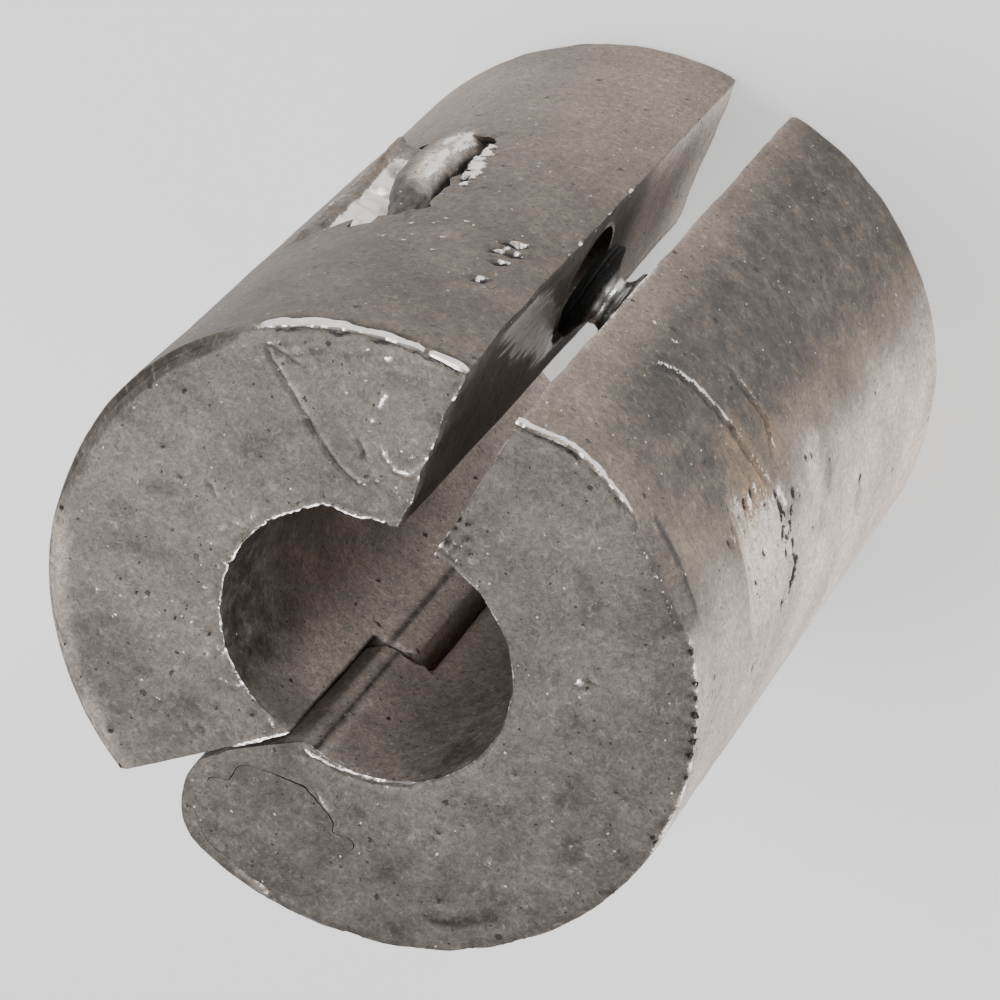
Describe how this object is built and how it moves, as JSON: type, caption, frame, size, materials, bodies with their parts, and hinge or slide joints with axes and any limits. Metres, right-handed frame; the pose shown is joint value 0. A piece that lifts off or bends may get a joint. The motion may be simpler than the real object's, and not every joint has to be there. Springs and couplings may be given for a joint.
{
  "type": "keepnet weight",
  "caption": "Hinged cast-lead weight: split cylinder whose halves shut round the ring of a fishing keepnet, with a latch stud in the slot.",
  "frame": {"origin": "on the axis of the upper half's bore, at the rear end face that the weight stands on", "axes": "+Z along the bore towards the end that the picture shows; +X from the hinge side towards the slot; +Y towards the upper half"},
  "size_m": [0.0323, 0.034, 0.042],
  "materials": {
    "lead": "dull as cast",
    "plug_lead": "dull, smeared",
    "pin_steel": "drawn wire",
    "bright_metal": "bright, worn"
  },
  "bodies": {
    "upper": {"upper_half": "lead", "catch_bar": "bright_metal"},
    "lower": {"lower_half": "lead", "hinge_pin": "pin_steel", "hinge_plug": "plug_lead", "latch_stud": "bright_metal"}
  },
  "joints": [
    {"name": "hinge", "type": "hinge", "parent": "upper", "child": "lower", "pos_m": [-0.01235, 0.0011, 0.021], "axis": [0, 0, -1], "range_deg": [-5.8, 100]}
  ]
}
